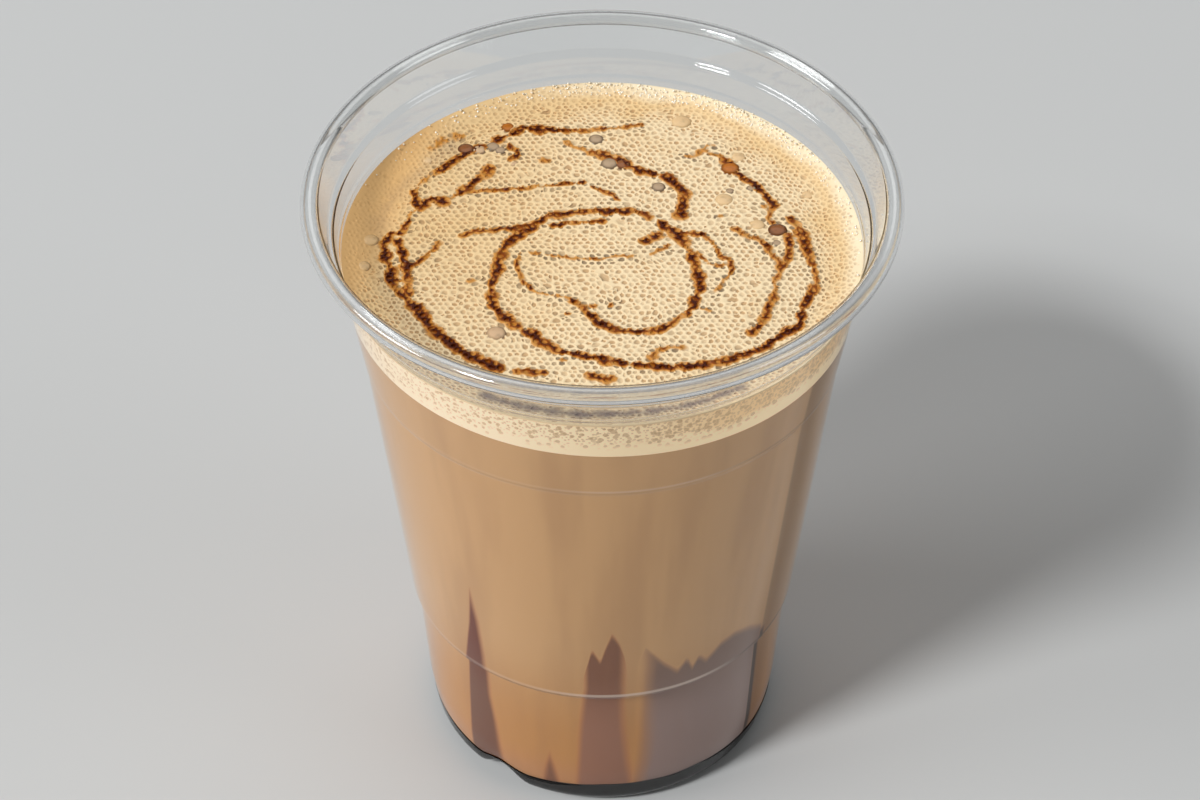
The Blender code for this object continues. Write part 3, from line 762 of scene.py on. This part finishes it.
def drizzleField(lines):
    # every point of every stroke with its half width and strength, to ask how much syrup lies at a place
    bead, beadSwing, beadScale = drizzleLook["beads"]
    fade, fadeSwing, fadeScale = drizzleLook["fade"]
    wander, wanderScale = drizzleLook["wander"]
    samples = []
    for halfWidth, strength, knots in lines:
        for point in strokeRoute(knots):
            width = bead + beadSwing * noise.noise(point * beadScale + Vector((0, 0, 9)))
            share = fade + fadeSwing * noise.noise(point * fadeScale + Vector((0, 0, 4)))
            across = noise.noise(point * wanderScale)
            onward = noise.noise(point * wanderScale + Vector((5, 0, 0)))
            moved = point + Vector((across, onward, 0)) * wander
            samples.append((moved, drizzleLook["widthShare"] * halfWidth * width, strength * share))
    tree = KDTree(len(samples))
    for i, (point, _, _) in enumerate(samples):
        tree.insert(point, i)
    tree.balance()
    return samples, tree


def syrupAt(spot, field):
    # how much syrup lies at a place, and how near the next strand is
    samples, tree = field
    flat = Vector((spot.x, spot.y, 0))
    most = 0.0
    for _, index, distance in tree.find_range(flat, drizzleLook["reach"]):
        _, halfWidth, strength = samples[index]
        most = max(most, strength * (drizzleLook["core"] - drizzleLook["falloff"] * distance / halfWidth))
    return most, max(0.0, 1 - tree.find(flat)[2] / drizzleLook["nearReach"])


def calmAt(spot):
    # how far the bubbles have run together at a place
    turn = math.radians(foamLook["calmTurn"])
    start, end = foamLook["calm"]
    outward = spot.x * math.cos(turn) + spot.y * math.sin(turn)
    share = min(1, max(0, (outward - start) / (end - start)))
    return share * share * (3 - 2 * share)


def fineAt(spot):
    # how fine the froth is at a place: most of all along the wall at the back
    (start, end), (front, back) = foamLook["fine"], foamLook["fineFront"]
    outward = min(1, max(0, (math.hypot(spot.x, spot.y) - start) / (end - start)))
    return outward * min(1, max(0, (spot.y - front) / (back - front)))


def spread(radius):
    # the cells' lattice is drawn together outside a certain radius, where the bubbles are finer
    start = foamLook["fineFrom"]
    return radius if radius < start else start + (radius - start) / foamLook["fineShare"]


def cellLattice(radius):
    # a jittered triangular lattice over a disc: each point becomes the middle of one bubble
    spacing = foamLook["spacing"]
    rowStep = spacing * math.sqrt(0.75)
    start = foamLook["fineFrom"]
    reach = start + (radius + 2 * spacing - start) * foamLook["fineShare"]
    columns, rows = round(2 * reach / spacing), round(2 * reach / rowStep)
    shape = bmesh.new()
    bmesh.ops.create_grid(shape, x_segments=columns, y_segments=rows, size=1)
    bmesh.ops.scale(shape, vec=(columns * spacing / 2, rows * rowStep / 2, 1), verts=shape.verts)
    draw = random.Random(foamLook["seed"])
    for vertex in shape.verts:
        row = round((vertex.co.y + rows * rowStep / 2) / rowStep)
        vertex.co.x += spacing / 2 * (row % 2)
    bmesh.ops.triangulate(shape, faces=shape.faces, quad_method="SHORT_EDGE")
    for vertex in shape.verts:
        turn, push = draw.uniform(0, math.tau), foamLook["jitter"] * spacing * draw.random() ** 0.5
        vertex.co += Vector((math.cos(turn) * push, math.sin(turn) * push, 0))
        length = vertex.co.length
        if length > start:
            vertex.co *= spread(length) / length
    return shape, draw


def cellsFromLattice(shape, radius):
    # poking every triangle and turning the old edges gives one many-sided cell round each lattice point
    bmesh.ops.beautify_fill(shape, faces=shape.faces, edges=shape.edges, method="ANGLE")
    points = shape.verts[:]
    inner = [edge for edge in shape.edges if len(edge.link_faces) == 2]
    bmesh.ops.poke(shape, faces=shape.faces, center_mode="MEAN")
    bmesh.ops.rotate_edges(shape, edges=inner, use_ccw=False)
    outside = [v for v in points if v.is_boundary
               or max((e.other_vert(v).co.length for e in v.link_edges), default=0) > radius]
    bmesh.ops.delete(shape, geom=outside, context="VERTS")
    middles = [v for v in points if v.is_valid]
    bmesh.ops.dissolve_verts(shape, verts=middles)
    ragged = [f for f in shape.faces if len(f.verts) < 4 and any(v.is_boundary for v in f.verts)]
    bmesh.ops.delete(shape, geom=ragged, context="FACES")
    bmesh.ops.delete(shape, geom=[v for v in shape.verts if not v.link_faces], context="VERTS")
    bmesh.ops.delete(shape, geom=[e for e in shape.edges if e.is_wire], context="EDGES")


def growFoamRim(shape, edge):
    # a rim out to the wall, and down behind the foam's side
    reach = edge - foamLook["rimBand"]
    loop = [e for e in shape.edges if e.is_boundary and e.verts[0].co.length > reach]
    for inset, height in foamLook["rim"]:
        grown = bmesh.ops.extrude_edge_only(shape, edges=loop)["geom"]
        loop = [g for g in grown if isinstance(g, bmesh.types.BMEdge)]
        for vertex in {v for e in loop for v in e.verts}:
            flat = Vector((vertex.co.x, vertex.co.y, 0)).normalized()
            vertex.co = flat * (edge - inset) + Vector((0, 0, height))
    bmesh.ops.contextual_create(shape, geom=loop)


def sinkPits(shape, cells, draw):
    # a round pit in each cell, of its own depth
    pit, tone = [shape.verts.layers.float[name] for name in ("pit", "tone")]
    depths = {}
    for cell in cells:
        spot = cell.calc_center_median()
        flat = max(foamLook["calmFlat"] * calmAt(spot), foamLook["fineFlat"] * fineAt(spot))
        depths[cell] = draw.uniform(*foamLook["depth"]) * (1 - flat)
    for share, drop, pitShare in foamLook["rings"]:
        bmesh.ops.inset_individual(shape, faces=cells, thickness=0, depth=0)
        for cell in cells:
            middle = cell.calc_center_median()
            mean = sum((v.co - middle).length for v in cell.verts) / len(cell.verts)
            for vertex in cell.verts:
                arm = vertex.co - middle
                length = arm.length
                vertex.co = middle + arm / length * (0.5 * length + 0.5 * mean) * share
                vertex.co.z -= drop * depths[cell]
                vertex[pit] = pitShare
                vertex[tone] = depths[cell]


def layDrizzle(shape):
    # the syrup at each point, which stands a little proud of the foam, and what the foam's paint asks for
    names = ("pit", "syrup", "near", "murk", "calm")
    pit, syrup, near, murk, calm = [shape.verts.layers.float[name] for name in names]
    patch, patchSwing, patchScale = drizzleLook["patches"]
    drizzle, sunken = drizzleField(strokes), drizzleField(murkyStrokes)
    for vertex in shape.verts:
        amount, nearness = syrupAt(vertex.co, drizzle)
        vertex[near] = nearness
        vertex[murk] = min(1, syrupAt(vertex.co, sunken)[0])
        vertex[calm] = calmAt(vertex.co)
        if amount > 0:
            spot = Vector((vertex.co.x, vertex.co.y, 3)) * patchScale
            patchy = max(0, amount * (patch + patchSwing * noise.noise(spot)))
            vertex[syrup] = min(drizzleLook["most"], patchy * (1 - drizzleLook["pitLoss"] * vertex[pit]))
            vertex.co.z += drizzleLook["raised"] * min(1, amount) * (1 - vertex[pit])


def shapeFoamTop():
    edge = outerRadius(foamLook["top"] + foamLook["climb"]) - cupShape["wall"] + contents["foamBite"]
    shape, draw = cellLattice(edge)
    cellsFromLattice(shape, edge - foamLook["border"])
    for name in ("pit", "tone", "syrup", "near", "murk", "calm"):
        shape.verts.layers.float.new(name)
    cells = shape.faces[:]
    growFoamRim(shape, edge)
    for vertex in shape.verts:
        radius = math.hypot(vertex.co.x, vertex.co.y)
        wave = noise.noise(Vector((vertex.co.x, vertex.co.y, 0)) * foamLook["swellScale"])
        ending = min(1, (edge - radius) / foamLook["swellEnd"])
        vertex.co.z += foamHeight(radius) + wave * foamLook["unevenness"] * ending
    sinkPits(shape, cells, draw)
    layDrizzle(shape)
    bmesh.ops.scale(shape, vec=(mm, mm, mm), verts=shape.verts)
    bmesh.ops.triangulate(shape, faces=[f for f in shape.faces if len(f.verts) > 4])
    bmesh.ops.recalc_face_normals(shape, faces=shape.faces)
    return shape


def foamColour(paint):
    # cream in the middle, golden towards the wall, pale froth along the wall at the back
    look = foamLook
    place = paint.place()
    flat = {0: paint.stretched(place, (1, 1, 0))}
    radius = paint.add("ShaderNodeVectorMath", {"operation": "LENGTH"}, flat, "Value")
    clouds = paint.noise(place, look["cloudScale"])
    back = paint.stepAt(paint.axis(place, "Y"), look["back"])
    left = paint.stepAt(paint.axis(place, "X"), look["left"])
    right = paint.stepAt(paint.axis(place, "X"), look["right"])
    outer = paint.stepAt(radius + (clouds - 0.5) * look["goldenDrift"] * mm, look["goldenFrom"])
    amount = outer * (look["frontGold"] + back * (1 - look["frontGold"]))
    amount += paint.step(clouds, *look["cloudGold"]) * look["cloudGoldShare"]
    amount += left * back * look["leftGold"]
    colour = paint.blend(amount, screenColour(*look["cream"]), screenColour(*look["golden"]))
    edge = paint.stepAt(radius + (clouds - 0.5) * look["frothDrift"] * mm, look["frothFrom"])
    return paint.blend(edge * right * back * look["frothShare"], colour, screenColour(*look["froth"]))


def foamPaint():
    look = foamLook
    paint = Paint("bubblyFoam", **{"Specular IOR Level": look["gloss"]})
    shades = {name: screenColour(*look[name])
              for name in ("tan", "pit", "greyPit", "amber", "brown", "dark", "murk")}
    pit = paint.step(paint.layer("pit"), *look["pitSpread"])
    tone = paint.step(paint.layer("tone"), *look["toneSpread"])
    deep = paint.step(paint.layer("tone"), *look["deepSpread"])
    near = paint.step(paint.layer("near"), *look["nearSpread"])
    # pits are greyer near the strands, and the deepest show most
    grey, greySwing = look["greyShare"]
    hollow = paint.blend(near * (grey + tone * greySwing), shades["pit"], shades["greyPit"])
    share, swing = look["pitShare"]
    colour = paint.blend(pit * deep * (share + tone * swing), foamColour(paint), hollow)
    colour = paint.blend(paint.layer("calm") * look["calmShare"], colour, shades["tan"])
    colour = paint.blend(paint.layer("murk") * look["murkShare"], colour, shades["murk"])
    # thin syrup is amber, thick syrup dark
    syrup = paint.layer("syrup")
    for low, high, most, name in look["syrupSteps"]:
        colour = paint.blend(paint.step(syrup, low, high) * most, colour, shades[name])
    wet = paint.step(syrup, *look["wetSpread"])
    roughness = look["roughness"] - wet * look["wetShine"]
    paint.fill(paint.shader, {"Base Color": colour, "Roughness": roughness})
    return paint


foamSideLook = {
    "turns": 300, "top": 102.05, "width": 1.2, "innerTop": 100.8, "roughness": 0.5,
    "plain": (250, 230, 192), "plainLeft": (253, 234, 204), "left": (5, -25), "right": (2, 26),
    "stain": (214, 168, 106), "stainFrom": (96.8, 98.6), "stainDrift": (120, 4), "stainShare": 0.7,
    "greyDot": (136, 108, 80), "brownDot": (188, 148, 98), "dotDrift": (160, 3),  # scale, swing
    "dotLayers": [(880, 95.6, 97.3, 0.12, 0.6), (1700, 96.4, 98.6, 0.16, 0.5)],  # scale, heights, size, share
    "dotRandomness": 0.9, "dotUneven": (0.35, 0.4), "dotGrowth": 0.1, "dotEdge": (-0.08, 0.05),
    # a painted glow, which stands in for light that the foam passes on, more of it at the right
    "glowLeft": (204, 160, 106), "glowRight": (255, 211, 151), "glowStrength": 0.3,
}


def drifting(paint, place, scale, swing):
    # the height, wandering by a few millimetres from place to place
    return paint.axis(place, "Z") + (paint.noise(place, scale) - 0.5) * swing * mm


def foamSidePaint():
    # small brown bubbles crowd the upper half of the side, larger and greyer at the front; a painted glow
    # brightens the whole side
    look = foamSideLook
    paint = Paint("foamSide", **{
        "Roughness": look["roughness"], "Specular IOR Level": contents["wetGloss"],
        "Emission Strength": look["glowStrength"],
    })
    place = paint.place()
    left = paint.stepAt(paint.axis(place, "X"), look["left"])
    right = paint.stepAt(paint.axis(place, "X"), look["right"])
    dot = paint.blend(left, screenColour(*look["greyDot"]), screenColour(*look["brownDot"]))
    colour = paint.blend(left, screenColour(*look["plain"]), screenColour(*look["plainLeft"]))
    stained = paint.stepAt(drifting(paint, place, *look["stainDrift"]), look["stainFrom"])
    colour = paint.blend(stained * right * look["stainShare"], colour, screenColour(*look["stain"]))
    unevenScale, uneven = look["dotUneven"]
    for scale, low, high, size, share in look["dotLayers"]:
        spots = paint.spots(place, scale, look["dotRandomness"])
        size = paint.noise(place, scale * unevenScale) * uneven + size + (1 - left) * look["dotGrowth"]
        band = paint.stepAt(drifting(paint, place, *look["dotDrift"]), (low, high))
        dotted = (1 - paint.step(spots - size, *look["dotEdge"])) * band
        colour = paint.blend(dotted * share, colour, dot)
    # painted glow: the side gives off a little light of its own, more at the right
    glow = paint.blend(right, screenColour(*look["glowLeft"]), screenColour(*look["glowRight"]))
    paint.fill(paint.shader, {"Base Color": colour, "Emission Color": glow})
    return paint


def makeFoamSide():
    look = foamSideLook
    bite = cupShape["wall"] - contents["foamBite"]
    low, high = foamEdge, look["top"]
    innerRadius = outerRadius(high) - bite - look["width"]
    line = wallLine(bite, low, high) + [(innerRadius, look["innerTop"], 0.0), (innerRadius, low, 0.0)]
    shape = spinLine(line, look["turns"], closed=True)
    tiltEdge(shape, low)
    return finishPiece("foamSide", shape, foamSidePaint(), "milk_foam", "foam")


def makeLargeBubbles():
    shape = bmesh.new()
    rim = shape.verts.layers.float.new("rim")
    tint = shape.verts.layers.float_color.new("bubbleTint")
    for x, y, halfWidth, colour in largeBubbles:
        ball = bmesh.ops.create_uvsphere(shape, u_segments=bubbleLook["segments"],
                                         v_segments=bubbleLook["rings"], radius=halfWidth)["verts"]
        for vertex in ball:
            across = math.hypot(vertex.co.x, vertex.co.y) / halfWidth
            vertex[rim] = across * bubbleLook["edges"][colour]
            vertex[tint] = (*screenColour(*bubbleLook[colour]), 1)
            vertex.co.z *= bubbleLook["flatness"]
            vertex.co += Vector((x, y, foamHeight(math.hypot(x, y)) - bubbleLook["sunk"]))
    bmesh.ops.scale(shape, vec=(mm, mm, mm), verts=shape.verts)
    paint = Paint("largeBubbles", **{
        "Roughness": bubbleLook["roughness"], "Specular IOR Level": bubbleLook["gloss"],
    })
    own = paint.layerColour("bubbleTint")
    deep = paint.blend(1.0, own, (bubbleLook["rimShare"],) * 3, "MULTIPLY")
    edge = paint.step(paint.layer("rim"), *bubbleLook["rimSpread"])
    cloud = paint.step(paint.noise(paint.place(), bubbleLook["cloudScale"]), *bubbleLook["cloudSpread"])
    colour = paint.blend(edge * bubbleLook["rimStrength"], own, deep)
    colour = paint.blend(cloud * bubbleLook["cloudStrength"], colour, deep)
    paint.fill(paint.shader, {"Base Color": colour})
    return finishPiece("largeBubbles", shape, paint, "milk_foam", "foam")


edgeLook = {
    "count": 700, "seed": 3, "size": (0.1, 0.24), "height": (102.0, 102.7),
    "turn": (68, 32),  # where round the wall they gather, and how closely
    "sink": 0.8, "spread": 2.2, "wallBand": 1.6,  # those outside this band lie on the foam
    "colour": (255, 252, 244), "cloudScale": 300.0, "roughness": 0.1, "gloss": 0.9,
}


def makeEdgeBubbles():
    # a line of tiny bubbles where the foam meets the wall, most of them at the back
    look = edgeLook
    low, high = look["height"]
    draw = random.Random(look["seed"])
    shape = bmesh.new()
    for _ in range(look["count"]):
        turn = math.radians(draw.gauss(*look["turn"]))
        size = draw.uniform(*look["size"])
        height = low + (high - low) * draw.random() ** 2
        wall = outerRadius(height)
        radius = wall - cupShape["wall"] - size * look["sink"] - draw.random() ** 2 * look["spread"]
        ball = bmesh.ops.create_icosphere(shape, subdivisions=1, radius=size)["verts"]
        level = height if radius > wall - look["wallBand"] else foamHeight(radius)
        spot = (radius * math.cos(turn), radius * math.sin(turn), level)
        bmesh.ops.translate(shape, vec=spot, verts=ball)
    bmesh.ops.scale(shape, vec=(mm, mm, mm), verts=shape.verts)
    paint = Paint("edgeBubbles", **{"Roughness": look["roughness"], "Specular IOR Level": look["gloss"]})
    cloud = paint.noise(paint.place(), look["cloudScale"])
    colour = paint.blend(cloud, screenColour(*look["colour"]), screenColour(*foamLook["froth"]))
    paint.fill(paint.shader, {"Base Color": colour})
    return finishPiece("edgeBubbles", shape, paint, "milk_foam", "foam")


def makeFoam():
    finishPiece("foamTop", shapeFoamTop(), foamPaint(), "milk_foam", "foam")
    makeFoamSide()
    makeLargeBubbles()
    makeEdgeBubbles()


# Floor

floorLook = {  # half its width in metres, and its colour in the shader's own numbers
    "halfWidth": 3, "drop": 0.1, "colour": (0.600, 0.611, 0.610), "roughness": 0.6, "gloss": 0.05,
}


def makeFloor():
    shape = bmesh.new()
    bmesh.ops.create_grid(shape, x_segments=1, y_segments=1, size=floorLook["halfWidth"])
    bmesh.ops.translate(shape, vec=(0, 0, -floorLook["drop"] * mm), verts=shape.verts)
    mesh = bpy.data.meshes.new("floor")
    shape.to_mesh(mesh)
    shape.free()
    paint = Paint("paleFloor", **{
        "Base Color": floorLook["colour"], "Roughness": floorLook["roughness"],
        "Specular IOR Level": floorLook["gloss"],
    })
    mesh.materials.append(paint.material)
    linkToScene(bpy.data.objects.new("floor", mesh))


makeCamera()
lightRoom()
makeLamps()
makeFloor()
print("camera, light and floor are in place")
makeCup()
makeDrink()
makeSyrup()
makeFoam()
print("all pieces are made")
